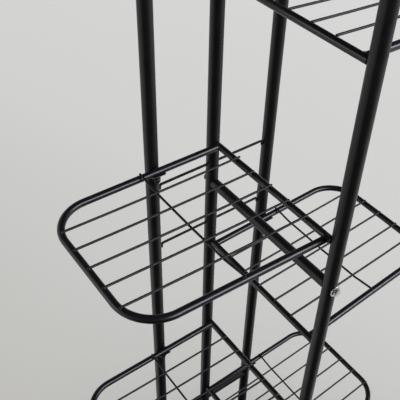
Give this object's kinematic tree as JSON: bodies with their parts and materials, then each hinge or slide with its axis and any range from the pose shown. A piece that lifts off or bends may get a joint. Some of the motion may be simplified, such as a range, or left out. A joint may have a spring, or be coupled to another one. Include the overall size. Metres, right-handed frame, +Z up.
{
  "type": "rotating display rack",
  "caption": "Free-standing shop rack: round black posts on a turntable carry bent-tube wire trays that reach out alternately to the left and the right.",
  "frame": {"origin": "on the floor, on the axis that the rack turns about, halfway between the front and the centre rear post", "axes": "+Z up; the trays reach out along +X and -X; the single front post is on the -Y side and the row of three rear posts on the +Y side"},
  "size_m": [0.5359, 0.48, 1.4683],
  "materials": {
    "powder_coat": "satin",
    "gloss_black": "semi-gloss",
    "black_plastic": "matte",
    "rubber": "matte",
    "zinc": "zinc plated",
    "steel": "turned"
  },
  "bodies": {
    "base": {"base_plate": "powder_coat", "base_foot_1": "rubber", "base_foot_2": "rubber", "base_foot_3": "rubber", "base_foot_4": "rubber", "spindle": "steel", "bearing_race_lower": "steel", "spindle_nut": "zinc"},
    "ball_ring": {"bearing_ball_ring": "steel"},
    "rotor": {"post_left": "powder_coat", "post_cap_left": "black_plastic", "post_centre": "powder_coat", "post_cap_centre": "black_plastic", "post_right": "powder_coat", "post_cap_right": "black_plastic", "post_front": "powder_coat", "post_cap_front": "black_plastic", "crossbar_middle": "powder_coat", "crossbar_washer_middle": "zinc", "crossbar_bolt_middle": "zinc", "crossbar_nut_middle": "gloss_black", "crossbar_top": "powder_coat", "crossbar_washer_top": "zinc", "crossbar_bolt_top": "zinc", "crossbar_nut_top": "gloss_black", "rear_bar_lower_left": "powder_coat", "rear_bar_lower_right": "powder_coat", "rear_bar_bolt_lower": "zinc", "rear_bar_nut_lower": "gloss_black", "rear_bar_upper_left": "powder_coat", "rear_bar_upper_right": "powder_coat", "rear_bar_bolt_upper": "zinc", "rear_bar_nut_upper": "gloss_black", "tie_rod_upper": "powder_coat", "tie_rod_lower": "powder_coat", "tray_right_low": "gloss_black", "tray_left_low": "gloss_black", "tray_right_middle": "gloss_black", "tray_left_middle": "gloss_black", "tray_right_high": "gloss_black", "tray_left_high": "gloss_black", "saddle_right_low": "powder_coat", "saddle_screw_right_low": "gloss_black", "saddle_left_low": "powder_coat", "saddle_screw_left_low": "gloss_black", "saddle_right_middle": "powder_coat", "saddle_screw_right_middle": "gloss_black", "saddle_left_middle": "powder_coat", "saddle_screw_left_middle": "gloss_black", "saddle_right_high": "powder_coat", "saddle_screw_right_high": "gloss_black", "saddle_left_high": "powder_coat", "saddle_screw_left_high": "gloss_black", "bearing_race_upper": "steel", "rotor_plate": "powder_coat", "hub_sleeve": "powder_coat"}
  },
  "joints": [
    {"name": "rotor_spin", "type": "hinge", "parent": "base", "child": "rotor", "pos_m": [0, 0, 0.038], "axis": [0, 0, 1], "continuous": true},
    {"name": "ball_ring_spin", "type": "hinge", "parent": "base", "child": "ball_ring", "pos_m": [0, 0, 0.0245], "axis": [0, 0, 1], "continuous": true}
  ],
  "couplings": [
    {"joint": "ball_ring_spin", "follows": "rotor_spin", "ratio": 0.5}
  ]
}
